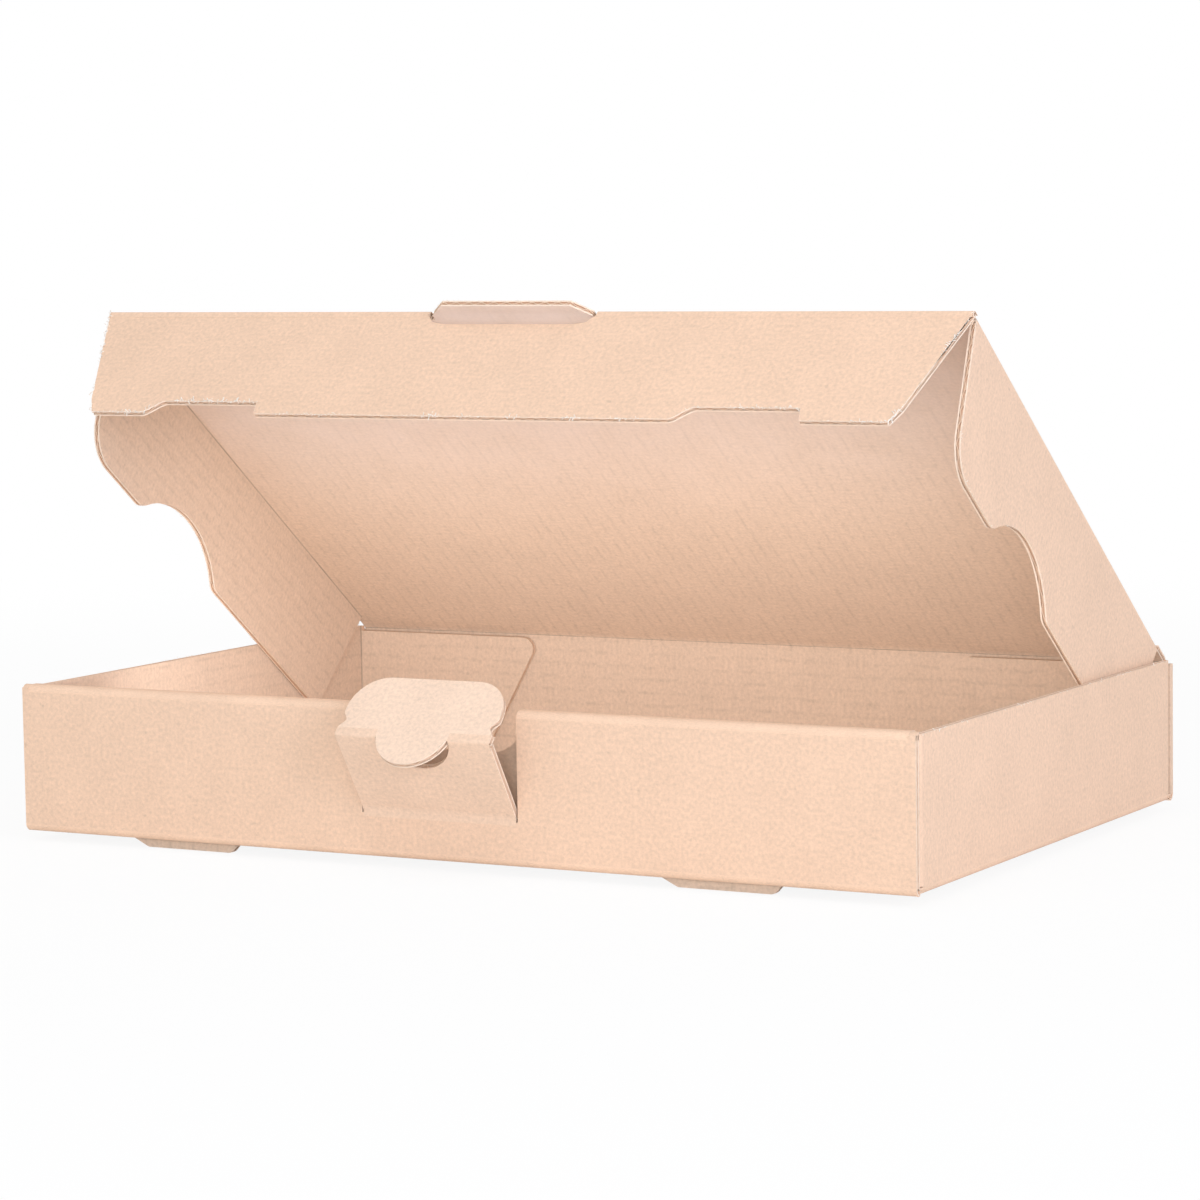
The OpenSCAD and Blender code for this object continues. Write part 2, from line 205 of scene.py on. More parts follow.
def paper(name, colour, roughness, glue=0.0, washboard=0.0, grain=0.52, streak=0.10, fold_wear_and_shade=0.0, light_pool=None):
    """A paper of the board, with how far glue lines darken it, how far flutes stand out, and how its folds
    shift in tone:
    paler above 0, partly wear and partly painted highlight; darker below 0, painted shade in the creases.

    A light pool is a painted pool of light: its colour, middle, reach, greatest share and the sideways edge
    where it stops.
    """
    made = bpy.data.materials.new(name)
    made.use_nodes = True
    tree = made.node_tree
    sheet = node(tree, "ShaderNodeUVMap", uv_map="sheet").outputs[0]
    kraft = node(tree, "ShaderNodeGroup", node_tree=fibres)
    lines = node(tree, "ShaderNodeGroup", node_tree=flutes)
    for group in (kraft, lines):
        tree.links.new(sheet, group.inputs["Sheet"])
    kraft.inputs["Grain"].default_value = grain
    kraft.inputs["Streak"].default_value = streak
    shade = math(tree, "SUBTRACT", kraft.outputs["Tone"], math(tree, "MULTIPLY", lines.outputs["Glue"], glue))
    # Painted fold tone: folds turn paler on the outside, partly wear and partly painted highlight, and darker
    # on the inside, as painted shade in the creases.
    fold = node(tree, "ShaderNodeAttribute", attribute_name="fold").outputs["Fac"]
    fold_wear_and_shade_tone = math(tree, "MULTIPLY", fold, math(tree, "MULTIPLY", kraft.outputs["Cloud"], 2 * fold_wear_and_shade))
    shade = math(tree, "ADD", shade, fold_wear_and_shade_tone)
    tint = node(tree, "ShaderNodeMix", {0: 1.0, 6: colour, 7: shade}, data_type="RGBA",
                blend_type="MULTIPLY").outputs[2]
    # Painted light: a paler pool round a middle point of the lining, fading with distance and cut off at a
    # sideways edge.
    if light_pool:
        pale, middle, reach, most, edge = light_pool
        spot = node(tree, "ShaderNodeTexCoord").outputs["Object"]
        level = node(tree, "ShaderNodeVectorMath", {0: spot, 1: (LIGHT_POOL_ALONG, 1, 1)}, operation="MULTIPLY")
        away = node(tree, "ShaderNodeVectorMath", {0: level.outputs[0], 1: middle}, operation="DISTANCE")
        light_pool_falloff = node(tree, "ShaderNodeMapRange",
                    {"Value": away.outputs["Value"], "From Min": 0.0, "From Max": reach,
                     "To Min": most, "To Max": 0.0}, interpolation_type="SMOOTHSTEP")
        share = math(tree, "MULTIPLY", light_pool_falloff.outputs[0], math(tree, "ADD", kraft.outputs["Cloud"], 0.5))
        sideways = math(tree, "ABSOLUTE", node(tree, "ShaderNodeSeparateXYZ", {0: spot}).outputs[0])
        on_panel = node(tree, "ShaderNodeMapRange", {"Value": sideways, "From Min": edge - LIGHT_POOL_BLUR,
                                                     "From Max": edge, "To Min": 1.0, "To Max": 0.0}).outputs[0]
        share = math(tree, "MULTIPLY", share, on_panel)
        tint = node(tree, "ShaderNodeMix", {0: share, 6: tint, 7: pale}, data_type="RGBA").outputs[2]
    height = math(tree, "ADD", math(tree, "MULTIPLY", kraft.outputs["Height"], FIBRE_RELIEF),
                  math(tree, "MULTIPLY", lines.outputs["Wave"], washboard))
    bump = node(tree, "ShaderNodeBump", {"Height": height, "Strength": BUMP_STRENGTH, "Distance": BUMP_DEPTH})
    shader = tree.nodes["Principled BSDF"]
    tree.links.new(tint, shader.inputs["Base Color"])
    tree.links.new(bump.outputs[0], shader.inputs["Normal"])
    shader.inputs["Roughness"].default_value = roughness
    shader.inputs["Specular IOR Level"].default_value = SHEEN
    return made


outside_liner = paper("kraft_outside", OUTSIDE_KRAFT, OUTSIDE_ROUGH, **OUTSIDE_LOOK)
inside_liner = paper("kraft_inside", INSIDE_KRAFT, INSIDE_ROUGH, **INSIDE_LOOK)
raw_edge = paper("raw_edge", RAW_EDGE, EDGE_ROUGH, grain=0.3)
medium_paper = paper("medium", MEDIUM_KRAFT, MEDIUM_ROUGH, grain=0.2)

# Tray: floor, four walls, corner flaps and the rolled-over front panel, all one sheet of fluted board.
# The sheet is made as the real one is: an outside liner, an inside liner and a wavy medium between them, open
# along the die-cut edges.
BOARD = 0.0015
LINER = 0.00036
MEDIUM = 0.0002
PLY_GAP = 0.00015
COLUMNS = 8
SKIM = 0.00002
WELD, CUT_WELD = 1e-6, 1e-7
FLAT_ANGLE = 0.01
NORMAL_DIGITS, PLACE_DIGITS = 3, 5
EDGE_SET = 0.0005
SMALLEST_PANEL = 0.0016
SMOOTH_ANGLE = radians(30)
FACING, UPRIGHT = 0.5, 0.02
CORNER_FLAP_REACH = 0.6 * BOARD
FLUTE_HEIGHT = (BOARD - 2 * LINER - MEDIUM) / 2
GEOMETRY, MATERIAL = "NodeSocketGeometry", "NodeSocketMaterial"
across_x, across_y, across_z = Vector((1, 0, 0)), Vector((0, 1, 0)), Vector((0, 0, 1))
cut_lines = {}


def geometry_tree(name, inputs):
    """An empty Geometry Nodes tree with its named inputs, and its two end nodes."""
    tree = bpy.data.node_groups.new(name, "GeometryNodeTree")
    tree.interface.new_socket("Geometry", in_out="INPUT", socket_type=GEOMETRY)
    tree.interface.new_socket("Geometry", in_out="OUTPUT", socket_type=GEOMETRY)
    for label, kind in inputs:
        tree.interface.new_socket(label, in_out="INPUT", socket_type=kind)
    return tree, node(tree, "NodeGroupInput"), node(tree, "NodeGroupOutput")


def finish_tree(tree, geometry, material, result):
    """The tree's end: real geometry, with its material."""
    real = node(tree, "GeometryNodeRealizeInstances", {0: geometry})
    dressed = node(tree, "GeometryNodeSetMaterial", {"Geometry": real.outputs[0], "Material": material})
    tree.links.new(dressed.outputs[0], result.inputs[0])


def placed(name, data):
    """A new object of the scene that holds a mesh or a lamp."""
    piece = bpy.data.objects.new(name, data)
    scene.collection.objects.link(piece)
    return piece


def mesh_of(name, sheet, *materials):
    """A mesh made from a bmesh, which is used up, with its materials."""
    mesh = bpy.data.meshes.new(name)
    sheet.to_mesh(mesh)
    sheet.free()
    for material in materials:
        mesh.materials.append(material)
    return mesh


def grown(name, mesh, tree, values):
    """A mesh put through a Geometry Nodes tree, with the tree's inputs set by their labels."""
    piece = placed(name, mesh)
    modifier = piece.modifiers.new(tree.name, "NODES")
    modifier.node_group = tree
    for item in tree.interface.items_tree:
        if item.in_out == "INPUT" and item.name in values:
            modifier[item.identifier] = values[item.name]
    return piece


def settled(piece):
    """The piece's mesh with its modifiers made real; the piece itself is removed."""
    depsgraph = bpy.context.evaluated_depsgraph_get()
    mesh = bpy.data.meshes.new_from_object(piece.evaluated_get(depsgraph), depsgraph=depsgraph)
    bpy.data.objects.remove(piece)
    return mesh


def thickened(piece, thickness, offset, rim=0):
    """The mesh of a flat piece given its thickness; rim counts on to the material of its cut edge."""
    solid = piece.modifiers.new("paper", "SOLIDIFY")
    solid.thickness, solid.offset, solid.material_offset_rim = thickness, offset, rim
    return settled(piece)


# The medium: flat columns of paper are pushed to a wave through the board's thickness.
flute_wave, given, result = geometry_tree(
    "flute_wave", [("Pitch", FLOAT), ("Height", FLOAT), ("Paper", MATERIAL)])
place = node(flute_wave, "GeometryNodeInputNamedAttribute", {"Name": "across"}, data_type="FLOAT")
through = node(flute_wave, "GeometryNodeInputNamedAttribute", {"Name": "through"}, data_type="FLOAT_VECTOR")
turns = math(flute_wave, "DIVIDE", place.outputs[0], given.outputs["Pitch"])
rise = math(flute_wave, "SINE", math(flute_wave, "MULTIPLY", turns, 2 * pi))
rise = math(flute_wave, "MULTIPLY", rise, given.outputs["Height"])
push = node(flute_wave, "ShaderNodeVectorMath", {0: through.outputs[0], "Scale": rise}, operation="SCALE")
waved = node(flute_wave, "GeometryNodeSetPosition", {"Geometry": given.outputs[0], "Offset": push.outputs[0]})
finish_tree(flute_wave, waved.outputs[0], given.outputs["Paper"], result)


def reach_of(faces, direction):
    """How far some faces reach along a direction."""
    places = [vertex.co.dot(direction) for face in faces for vertex in face.verts]
    return min(places), max(places)


def is_panel(faces, along, across):
    """Whether coplanar faces are a flat panel and not one facet of a fold."""
    return all(high - low > SMALLEST_PANEL for low, high in (reach_of(faces, along), reach_of(faces, across)))


def liner_mesh(name, panels, grain, material):
    """One liner: one side of the board as a sheet of paper, with the sheet's own coordinates and its folds."""
    sheet = bmesh.new()
    uv = sheet.loops.layers.uv.new("sheet")
    fold = sheet.faces.layers.float.new("fold")
    corners = {}
    for faces in panels:
        along = grain(faces[0].calc_center_median(), faces[0].normal)
        across = along.cross(faces[0].normal)
        bent = 0.0 if is_panel(faces, along, across) else 1.0
        for face in faces:
            for vertex in face.verts:
                if vertex not in corners:
                    corners[vertex] = sheet.verts.new(vertex.co)
            copy = sheet.faces.new([corners[v] for v in face.verts])
            copy[fold] = bent
            for loop in copy.loops:
                loop[uv].uv = loop.vert.co.dot(across), loop.vert.co.dot(along)
    return thickened(placed(name, mesh_of(name, sheet, material, raw_edge)), LINER, -1, rim=1)


def medium_mesh(name, panels, grain):
    """The wavy paper between the liners of every flat panel."""
    sheet = bmesh.new()
    across_layer = sheet.verts.layers.float.new("across")
    through_layer = sheet.verts.layers.float_vector.new("through")
    step = FLUTE_PITCH / COLUMNS
    for faces in panels:
        normal = faces[0].normal
        along = grain(faces[0].calc_center_median(), normal)
        across = along.cross(normal)
        if not is_panel(faces, along, across):
            continue
        panel = bmesh.new()
        corners = {}
        for face in faces:
            for vertex in face.verts:
                if vertex not in corners:
                    corners[vertex] = panel.verts.new(vertex.co - normal * BOARD / 2)
            panel.faces.new([corners[v] for v in face.verts])
        bmesh.ops.dissolve_limit(panel, angle_limit=FLAT_ANGLE, verts=panel.verts, edges=panel.edges)
        low, high = reach_of(faces, across)
        for k in range(ceil(low / step), floor(high / step) + 1):
            bmesh.ops.bisect_plane(panel, geom=panel.verts[:] + panel.edges[:] + panel.faces[:], dist=CUT_WELD,
                                   plane_co=across * (k * step), plane_no=across)
        moved = {v: sheet.verts.new(v.co) for v in panel.verts}
        for vertex, copy in moved.items():
            copy[across_layer] = vertex.co.dot(across)
            copy[through_layer] = normal
        for face in panel.faces:
            sheet.faces.new([moved[v] for v in face.verts])
        panel.free()
    piece = grown(name, mesh_of(name, sheet), flute_wave,
                  {"Pitch": FLUTE_PITCH, "Height": FLUTE_HEIGHT, "Paper": medium_paper})
    return thickened(piece, MEDIUM, 0)


def edge_mesh(name, faces, panel_faces):
    """What shows between the liners of a cut edge: crushed flute ends, a little way in."""
    sheet = bmesh.new()
    for face in faces:
        corners = []
        for vertex in face.verts:
            outward = sum((f.normal for f in vertex.link_faces if f in panel_faces), Vector())
            inset = outward.normalized() * LINER / 2
            corners.append(sheet.verts.new(vertex.co - face.normal * EDGE_SET - inset))
        sheet.faces.new(corners)
    bmesh.ops.remove_doubles(sheet, verts=sheet.verts, dist=WELD)
    return thickened(placed(name, mesh_of(name, sheet, medium_paper)), MEDIUM, -1)


def fluted_board(name, is_outside, grain, outside=outside_liner, inside=inside_liner):
    """A CAD node rebuilt as fluted board: liners where the solid is one board thick, and open cut edges."""
    solid = bmesh.new()
    solid.from_mesh(frame["nodes"][name].data)
    bmesh.ops.remove_doubles(solid, verts=solid.verts, dist=WELD)
    solid.normal_update()
    inside_of = BVHTree.FromBMesh(solid)
    sides = {True: {}, False: {}}
    outer_faces, panel_faces, edge_faces = set(), set(), []
    for face in solid.faces:
        centre = face.calc_center_median()
        depth = inside_of.ray_cast(centre - face.normal * SKIM, -face.normal)[3]
        if depth is None or abs(depth - BOARD) > BOARD / 4:
            edge_faces.append(face)
            continue
        outer = is_outside(centre, face.normal)
        turned = tuple(round(part, NORMAL_DIGITS) for part in face.normal)
        plane = turned + (round(face.normal.dot(centre), PLACE_DIGITS),)
        sides[outer].setdefault(plane, []).append(face)
        panel_faces.add(face)
        if outer:
            outer_faces.add(face)
    cut_lines[name] = [(edge.verts[0].co.copy(), edge.verts[1].co.copy()) for edge in solid.edges
                       if sum(face in outer_faces for face in edge.link_faces) == 1]
    papers = [(liner_mesh("outside", sides[True].values(), grain, outside), (0, 2)),
              (liner_mesh("inside", sides[False].values(), grain, inside), (1, 2)),
              (medium_mesh("medium", sides[True].values(), grain), (3,)),
              (edge_mesh("edge", edge_faces, panel_faces), (3,))]
    solid.free()
    whole = bmesh.new()
    for mesh, slots in papers:
        known = len(whole.faces)
        whole.from_mesh(mesh)
        whole.faces.ensure_lookup_table()
        for face in whole.faces[known:]:
            face.material_index = slots[face.material_index]
        bpy.data.meshes.remove(mesh)
    board = mesh_of(name + "_board", whole, outside, inside, raw_edge, medium_paper)
    board.shade_smooth()
    board.set_sharp_from_angle(angle=SMOOTH_ANGLE)
    piece = placed(name + "_board", board)
    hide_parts(name)
    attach(piece, name)


tray_low, tray_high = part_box("tray")
BOX_HEIGHT = tray_high.z
FRONT_FACE = tray_low.y
INNER_PANEL_Y = FRONT_FACE + 2.5 * BOARD + 2 * PLY_GAP
CORNER_FLAP_Y = tray_high.y - 1.5 * BOARD - PLY_GAP


def tray_outside(spot, normal):
    """Whether a face of the tray is on the blank's outside; the rolled-over panel turns its outside in."""
    if abs(spot.y - INNER_PANEL_Y) < BOARD and abs(normal.y) > FACING:
        return normal.y > 0
    beyond = spot + normal * BOARD
    return not (abs(beyond.x) < tray_high.x - BOARD and abs(beyond.y) < tray_high.y - BOARD
                and BOARD < beyond.z < BOX_HEIGHT - BOARD)


def tray_grain(spot, normal):
    """Which way the flutes run: front to back in the floor and sides, round the corners in the corner flaps."""
    if abs(normal.y) < UPRIGHT:
        return across_y
    if abs(normal.x) > UPRIGHT or abs(abs(spot.y) - CORNER_FLAP_Y) < CORNER_FLAP_REACH:
        return across_z.cross(normal).normalized()
    return normal.cross(across_x).normalized()


fluted_board("tray", tray_outside, tray_grain)

# Ends of the rolled-over top: the outer panel's crushed edge runs on round the fold to the side walls.
# They are the same sheet as the front wall; the CAD solid ends its roll at the inner panel's width.
FOLD_IN = 0.00025
FOLD_OUT = BOARD + FOLD_IN
FOLD_STEPS = 8
ROLL_END = 0.0018
fold_angles = [k * pi / (2 * FOLD_STEPS) for k in range(FOLD_STEPS + 1)]
for side in (-1, 1):
    end = bmesh.new()
    uv = end.loops.layers.uv.new("sheet")
    arc = [Vector((0, -cos(angle), sin(angle))) for angle in fold_angles]
    middle = Vector((0, FRONT_FACE + FOLD_OUT, BOX_HEIGHT - FOLD_OUT))
    section = [middle + turn * FOLD_OUT for turn in arc]
    section += [middle + turn * (FOLD_OUT - BOARD) for turn in reversed(arc)]
    begin = across_x * side * (tray_high.x - ROLL_END)
    face = end.faces.new([end.verts.new(spot + begin) for spot in section])
    run = bmesh.ops.extrude_face_region(end, geom=[face])
    bmesh.ops.translate(end, verts=[v for v in run["geom"] if isinstance(v, bmesh.types.BMVert)],
                        vec=across_x * side * ROLL_END)
    bmesh.ops.recalc_face_normals(end, faces=end.faces)
    for face in end.faces:
        for loop in face.loops:
            loop[uv].uv = loop.vert.co.x, loop.vert.co.z
    name = "front_top_end_" + ("left" if side < 0 else "right")
    piece = placed(name, mesh_of(name, end, outside_liner))
    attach(piece, "tray")

# Lid: one panel with a side flap folded down at each end and a flat tab over the slot, creased to the back
# wall. It is the same board, its flutes running from the hinge to the front. Its lining has a painted pool of
# light near the front left, where it is painted paler.
LID_OPEN = radians(37.5)
LIGHT_POOL = (0.84, 0.72, 0.67, 1)
LIGHT_POOL_REACH, LIGHT_POOL_MOST = 0.10, 0.7
SHORTEST_GRAIN = 0.1
lid_ahead = Vector((0, -cos(LID_OPEN), sin(LID_OPEN)))
lid_up = Vector((0, sin(LID_OPEN), cos(LID_OPEN)))
crease_at = {joint["name"]: Vector(joint["pos_m"]) for joint in frame["record"]["behaviour"]["joints"]}
lid_low, lid_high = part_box("lid")
flap_crease = crease_at["tuck_flap_fold"]
light_pool_middle = Vector((0.5 * LIGHT_POOL_ALONG * lid_low.x, flap_crease.y, flap_crease.z))
light_pool_edge = lid_high.x - 1.2 * BOARD
lid_lining = paper("lid_inside", INSIDE_KRAFT, INSIDE_ROUGH, **INSIDE_LOOK,
                   light_pool=(LIGHT_POOL, light_pool_middle, LIGHT_POOL_REACH, LIGHT_POOL_MOST, light_pool_edge))


def lid_outside(spot, normal):
    """Whether a face of the lid is on its outside."""
    if abs(normal.x) > FACING:
        return normal.x * spot.x > 0
    return normal.dot(lid_up) > 0


def lid_grain(spot, normal):
    """The flutes run from the hinge to the front, in the panel and in the side flaps."""
    along = lid_ahead - normal * lid_ahead.dot(normal)
    if along.length > SHORTEST_GRAIN:
        return along.normalized()
    return normal.cross(across_x).normalized()


fluted_board("lid", lid_outside, lid_grain, inside=lid_lining)

# Front flap of the lid, with two notches in its lower edge and the slot for the latch's tongue at its crease.
# It is cut in one with the lid and bent down on a crease.
FLAP_LEAN = radians(45.5)
flap_down = Vector((0, -sin(FLAP_LEAN), -cos(FLAP_LEAN)))
flap_out = Vector((0, -cos(FLAP_LEAN), sin(FLAP_LEAN)))


def front_outside(spot, normal):
    """The front flap and both latch panels show their outside to the front."""
    return normal.y < 0


def crease_grain(spot, normal):
    """The flutes run square to the crease."""
    return normal.cross(across_x).normalized()


fluted_board("tuck_flap", front_outside, crease_grain)

# Latch: a plate cut out of the front wall and creased along its foot, and the tongue that folds in through
# the slot. The thumb tab is part of the tongue and swings out of the plate. Both are paler than the front wall:
# the plate a little, and the tongue more, as painted light from above on its upward face.
PLATE_LEAN = radians(32)
TONGUE_LEAN = radians(45)
PLATE_KRAFT = (0.80, 0.585, 0.44, 1)
# Painted light: the tongue's colour is paler because it faces up into the light from above.
TONGUE_LIT_KRAFT = (0.84, 0.64, 0.50, 1)
LATCH_LOOK = {"glue": 0.01, "washboard": 0.1, "fold_wear_and_shade": 0.02}
plate_up = Vector((0, -sin(PLATE_LEAN), cos(PLATE_LEAN)))
plate_out = Vector((0, -cos(PLATE_LEAN), -sin(PLATE_LEAN)))
tongue_on = Vector((0, sin(TONGUE_LEAN), cos(TONGUE_LEAN)))
tongue_out = Vector((0, -cos(TONGUE_LEAN), sin(TONGUE_LEAN)))
plate_liner = paper("latch_plate_kraft", PLATE_KRAFT, OUTSIDE_ROUGH, **LATCH_LOOK)
tongue_lit_liner = paper("latch_tongue_lit_kraft", TONGUE_LIT_KRAFT, OUTSIDE_ROUGH, **LATCH_LOOK)
fluted_board("latch_plate", front_outside, crease_grain, outside=plate_liner)
fluted_board("latch_tongue", front_outside, crease_grain, outside=tongue_lit_liner)

# Creases that turn: the liners run on from one panel to the next over the crushed flutes.
# Each is a narrow band of liner on either side of the board, bent round the crease as it stands.
BAND_REACH = 0.0014
BAND_PROUD = 0.00004
BAND_PAPER = 0.00006
BEND_STEPS = 8
SLOT_HALF = 0.0218
THUMB_HALF = 0.0092


def band_path(axis, onto, away, from_out, to_out):
    """Section of a liner over a crease: along the first panel, round or into the bend, and along the second."""
    radius = BOARD / 2 + BAND_PROUD
    bend = from_out.angle(to_out)
    start, end = axis + from_out * radius, axis + to_out * radius
    if away.dot(from_out) < 0:
        arc = [axis + from_out.slerp(to_out, k / BEND_STEPS) * radius for k in range(BEND_STEPS + 1)]
        return [start - onto * BAND_REACH] + arc + [end + away * BAND_REACH], start, end
    near = radius * tan(bend / 2) + 2 * BAND_PAPER
    corner = axis + (from_out + to_out).normalized() * (radius / cos(bend / 2) + BAND_PAPER)
    start, end = start - onto * near, end + away * near
    return [start - onto * BAND_REACH, start, corner, end, end + away * BAND_REACH], start, end


def crease_band(name, joint, first, second, spans, liners):
    """Both liners over one crease; first and second are (body, direction through the crease, outward), and the
    body is not used.
    """
    (body_a, onto, out_a), (body_b, away, out_b) = first, second
    for side, liner in zip((1, -1), liners):
        path, start, end = band_path(crease_at[joint], onto, away, side * out_a, side * out_b)
        sheet = bmesh.new()
        uv = sheet.loops.layers.uv.new("sheet")
        fold = sheet.faces.layers.float.new("fold")
        for low, high in spans:
            rows = [[sheet.verts.new((x, spot.y, spot.z)) for x in (low, high)] for spot in path]
            run = 0.0
            for k, (one, two) in enumerate(zip(rows, rows[1:])):
                face = sheet.faces.new((one[0], one[1], two[1], two[0]))
                face.normal_update()
                if face.normal.dot(side * (out_a + out_b)) < 0:
                    face.normal_flip()
                # The bend's faces count as folds: the inside band is painted darker there, as painted crease
                # shade, and the outside band a little paler, partly wear and partly painted highlight.
                face[fold] = 1.0 if 0 < k < len(rows) - 2 else 0.0
                length = (two[0].co - one[0].co).length
                for loop in face.loops:
                    loop[uv].uv = loop.vert.co.x, run + (length if loop.vert in two else 0.0)
                run += length
        label = name + ("_outside" if side > 0 else "_inside")
        band = thickened(placed(label, mesh_of(label, sheet, liner)), BAND_PAPER, -1)
        band.shade_smooth()
        band.set_sharp_from_angle(angle=SMOOTH_ANGLE)
        piece = placed(label, band)
        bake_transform(piece)


flap_low, flap_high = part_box("tuck_flap")
plate_low, plate_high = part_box("latch_plate")
plate_middle = (plate_low.x + plate_high.x) / 2
crease_band("lid_crease", "lid_hinge", ("tray", across_z, across_y), ("lid", lid_ahead, lid_up),
            [(lid_low.x, lid_high.x)], (outside_liner, inside_liner))
crease_band("flap_crease", "tuck_flap_fold", ("lid", lid_ahead, lid_up), ("tuck_flap", flap_down, flap_out),
            [(flap_low.x, plate_middle - SLOT_HALF), (plate_middle + SLOT_HALF, flap_high.x)],
            (outside_liner, lid_lining))
crease_band("plate_crease", "latch_hinge", ("tray", across_z, -across_y), ("latch_plate", plate_up, plate_out),
            [(plate_low.x, plate_high.x)], (plate_liner, inside_liner))
crease_band("tongue_crease", "tongue_fold", ("latch_plate", plate_up, plate_out),
            ("latch_tongue", tongue_on, tongue_out),
            [(plate_low.x, plate_middle - THUMB_HALF), (plate_middle + THUMB_HALF, plate_high.x)],
            (plate_liner, inside_liner))

# Torn fibres: the die leaves a pale fuzz along the cut edges, thickest along the front flap's lower edge.
# Each fibre is a bent sliver of paper, scattered along the edge with its own turn and length.
FIBRE_COLOUR = (0.93, 0.87, 0.80, 1)
FIBRE_SHARE = 0.13
TEAR_SCALE = 160
TEAR_FROM, TEAR_FULL, TEAR_LEAST = 0.42, 0.68, 0.15
SHORTEST_FIBRE = 0.3
CREASE_CLEAR = 0.008
TOP_SHARE = 0.9
fibre_paper = paper("torn_fibre", FIBRE_COLOUR, EDGE_ROUGH, grain=0.2)

torn_fibres, given, result = geometry_tree(
    "torn_fibres", [("Spacing", FLOAT), ("Length", FLOAT), ("Seed", "NodeSocketInt"), ("Paper", MATERIAL)])
line = node(torn_fibres, "GeometryNodeMeshToCurve", {"Mesh": given.outputs[0]})
spots = node(torn_fibres, "GeometryNodeCurveToPoints",
             {"Curve": line.outputs[0], "Length": given.outputs["Spacing"]}, mode="LENGTH")
sliver = node(torn_fibres, "GeometryNodeCurveQuadraticBezier",
              {"Resolution": 3, "Start": (0, 0, 0), "Middle": (0, 0, 0.6), "End": (0.5, 0, 0.9)})
section = node(torn_fibres, "GeometryNodeCurvePrimitiveCircle", {"Resolution": 3, "Radius": FIBRE_SHARE})
fibre = node(torn_fibres, "GeometryNodeCurveToMesh",
             {"Curve": sliver.outputs[0], "Profile Curve": section.outputs[0], "Fill Caps": True})
turn = node(torn_fibres, "FunctionNodeRandomValue",
            {0: (-pi, -pi, -pi), 1: (pi, pi, pi), "Seed": given.outputs["Seed"]}, data_type="FLOAT_VECTOR")
position = node(torn_fibres, "GeometryNodeInputPosition").outputs[0]
patch = node(torn_fibres, "ShaderNodeTexNoise", {"Vector": position, "Scale": TEAR_SCALE, "Detail": 2.0})
torn = node(torn_fibres, "ShaderNodeMapRange", {"Value": patch.outputs["Fac"], "From Min": TEAR_FROM,
                                                "From Max": TEAR_FULL, "To Min": TEAR_LEAST, "To Max": 1.0})
chance = node(torn_fibres, "FunctionNodeRandomValue",
              {2: SHORTEST_FIBRE, 3: 1.0, "Seed": given.outputs["Seed"]}, data_type="FLOAT")
share = math(torn_fibres, "MULTIPLY", torn.outputs[0], chance.outputs[1])
size = math(torn_fibres, "MULTIPLY", given.outputs["Length"], share)
scattered = node(torn_fibres, "GeometryNodeInstanceOnPoints",
                 {"Points": spots.outputs[0], "Instance": fibre.outputs[0], "Rotation": turn.outputs[0],
                  "Scale": size})
finish_tree(torn_fibres, scattered.outputs[0], given.outputs["Paper"], result)


def fuzz(name, body, keep, spacing, length, seed):
    """Torn fibres along those cut edges of a body whose middle is kept."""
    edge = bmesh.new()
    for one, two in cut_lines[body]:
        if keep((one + two) / 2):
            edge.edges.new((edge.verts.new(one), edge.verts.new(two)))
    bmesh.ops.remove_doubles(edge, verts=edge.verts, dist=WELD)
    piece = grown(name, mesh_of(name, edge), torn_fibres,
                  {"Spacing": spacing, "Length": length, "Seed": seed, "Paper": fibre_paper})
    piece = placed(name, settled(piece))
    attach(piece, body)


def on_flap_edge(spot):
    """Whether a place on the front flap is clear of its crease."""
    return (spot - flap_crease).dot(flap_down) > CREASE_CLEAR


def on_lid_edge(spot):
    """Whether a place on the lid is clear of the hinge's crease."""
    return (spot - crease_at["lid_hinge"]).dot(lid_ahead) > CREASE_CLEAR


def on_side_wall_top(spot):
    """Whether a place on the tray is on a side wall's outer top edge."""
    return spot.z > TOP_SHARE * BOX_HEIGHT and abs(spot.x) > tray_high.x - BOARD / 2


fuzz("flap_fuzz", "tuck_flap", on_flap_edge, spacing=0.0003, length=0.0014, seed=3)
fuzz("lid_fuzz", "lid", on_lid_edge, spacing=0.0006, length=0.0006, seed=5)
fuzz("tray_fuzz", "tray", on_side_wall_top, spacing=0.0007, length=0.0009, seed=7)

# Studio: a white floor that keeps a faint shadow, a white backdrop and an even sky.
# Three soft lamps stand round the box, and three small fills low in the tray light the lid's lining.
SKY = 0.52
WHITE = (1, 1, 1, 1)
LAMP_WHITE, COOL_WHITE = (1, 1, 1), (0.90, 0.97, 1.14)
FILL_APART = 0.06


def lamp(name, at, aim, size, watts, colour=LAMP_WHITE):
    """A soft rectangular lamp, out of the camera's sight."""
    data = bpy.data.lights.new(name, "AREA")
    data.shape = "RECTANGLE"
    data.size, data.size_y = size
    data.energy, data.color = watts, colour
    piece = placed(name, data)
    piece.location = at
    piece.rotation_euler = (Vector(aim) - Vector(at)).to_track_quat("-Z", "Y").to_euler()
    piece.visible_camera = False


lamp("front_lamp", at=(0.40, -1.20, 0.11), aim=(0, 0, 0.07), size=(0.8, 0.8), watts=8.0)
lamp("side_lamp", at=(1.2, -0.5, 0.4), aim=(0, 0, 0.05), size=(0.7, 0.7), watts=6.6, colour=COOL_WHITE)
lamp("top_lamp", at=(0, -0.3, 1.3), aim=(0, 0, 0.05), size=(0.9, 0.9), watts=4.4)
for name, x, watts in (("tray_fill_left", -FILL_APART, 0.026), ("tray_fill_right", FILL_APART, 0.024)):
    lamp(name, at=(x, -0.045, 0.018), aim=(x, 0.07, 0.04), size=(0.06, 0.022), watts=watts)
lamp("left_fill", at=(0.04, -0.05, 0.014), aim=(-0.08, -0.02, 0.11), size=(0.03, 0.022), watts=0.017)


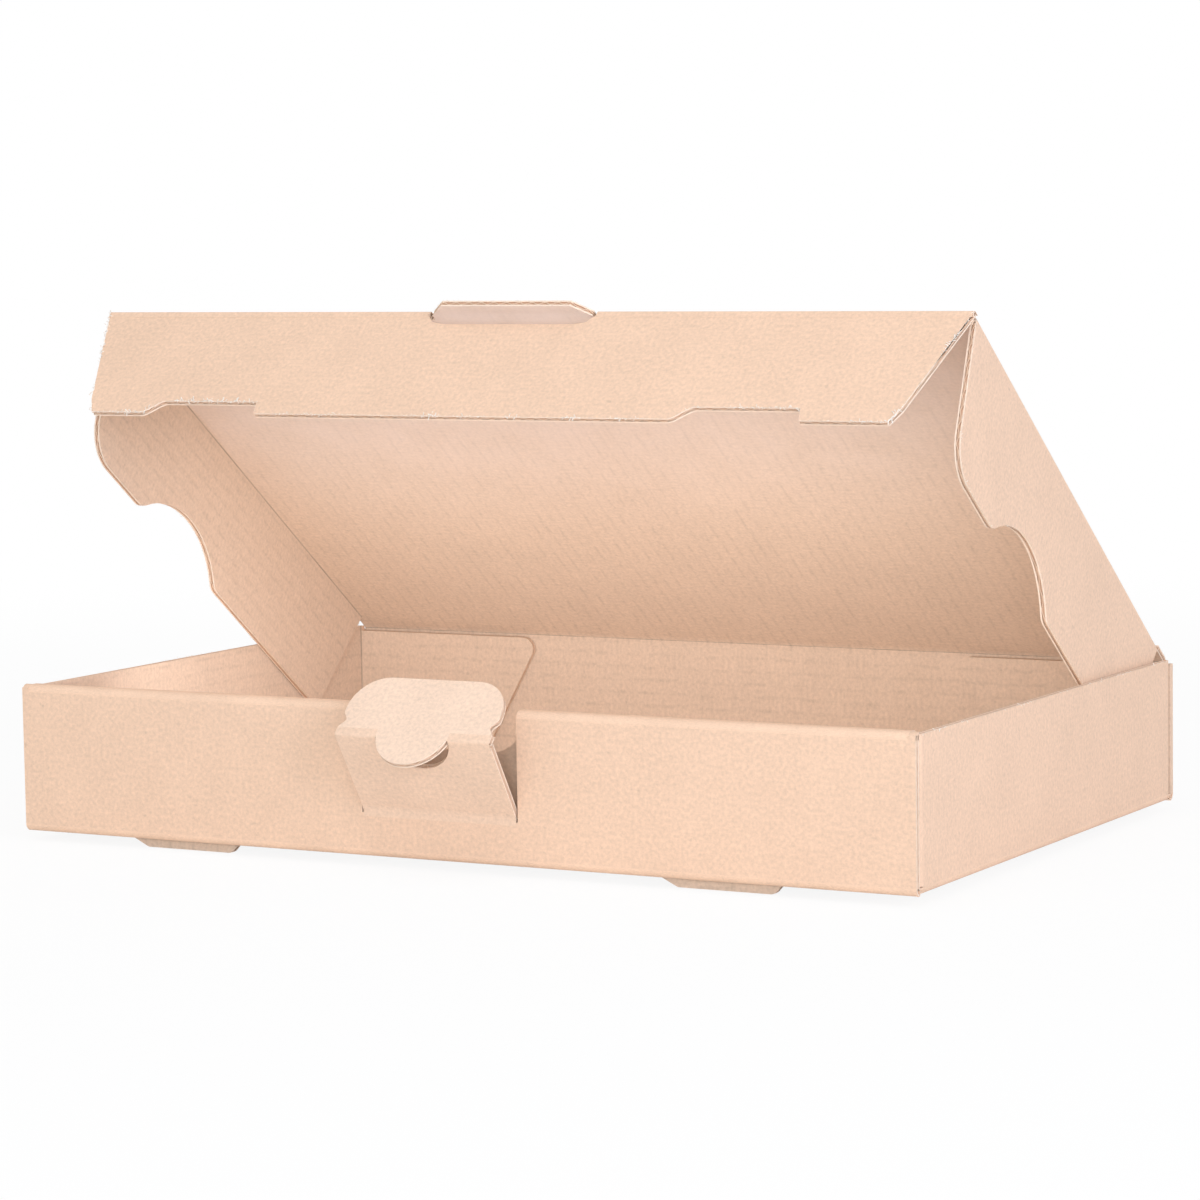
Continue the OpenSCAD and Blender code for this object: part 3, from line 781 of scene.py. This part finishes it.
def seen_directly(tree):
    """1 where the camera, a reflection or a clear body looks at the surface, otherwise 0."""
    path = node(tree, "ShaderNodeLightPath")
    seen = math(tree, "MAXIMUM", path.outputs["Is Camera Ray"], path.outputs["Is Glossy Ray"])
    return math(tree, "MAXIMUM", seen, path.outputs["Is Transmission Ray"])


world = bpy.data.worlds.new("studio")
scene.world = world
world.use_nodes = True
sky = world.node_tree
light = sky.nodes["Background"]
light.inputs["Color"].default_value = WHITE
light.inputs["Strength"].default_value = SKY
backdrop = node(sky, "ShaderNodeBackground", {"Color": WHITE, "Strength": 1.0})
view = node(sky, "ShaderNodeMixShader", {0: seen_directly(sky), 1: light.outputs[0], 2: backdrop.outputs[0]})
sky.links.new(view.outputs[0], sky.nodes["World Output"].inputs["Surface"])

FLOOR_SIZE = 6
FLOOR_CARD = (0.92, 0.92, 0.92, 1)
SHADOW_FULL, SHADOW_END, SHADOW_SHARE = 0.2, 0.7, 0.10
floor_material = bpy.data.materials.new("floor")
floor_material.use_nodes = True
tree = floor_material.node_tree
card = tree.nodes["Principled BSDF"]
card.inputs["Base Color"].default_value = FLOOR_CARD
card.inputs["Roughness"].default_value = 1
spot = node(tree, "ShaderNodeTexCoord")
reach = node(tree, "ShaderNodeVectorMath", {0: spot.outputs["Object"]}, operation="LENGTH")
shadow = node(tree, "ShaderNodeMapRange", {"Value": reach.outputs["Value"], "From Min": SHADOW_FULL,
                                           "From Max": SHADOW_END, "To Min": SHADOW_SHARE, "To Max": 0.0},
              interpolation_type="SMOOTHSTEP")
white_share = math(tree, "MULTIPLY", seen_directly(tree), math(tree, "SUBTRACT", 1.0, shadow.outputs[0]))
glow = node(tree, "ShaderNodeEmission", {"Color": WHITE, "Strength": 1.0})
surface = node(tree, "ShaderNodeMixShader", {0: white_share, 1: card.outputs[0], 2: glow.outputs[0]})
tree.links.new(surface.outputs[0], tree.nodes["Material Output"].inputs["Surface"])
bpy.ops.mesh.primitive_plane_add(size=FLOOR_SIZE, location=(0, 0, cad_box[0].z))
floor_plane = bpy.context.object
floor_plane.name = "floor"
floor_plane.data.materials.append(floor_material)
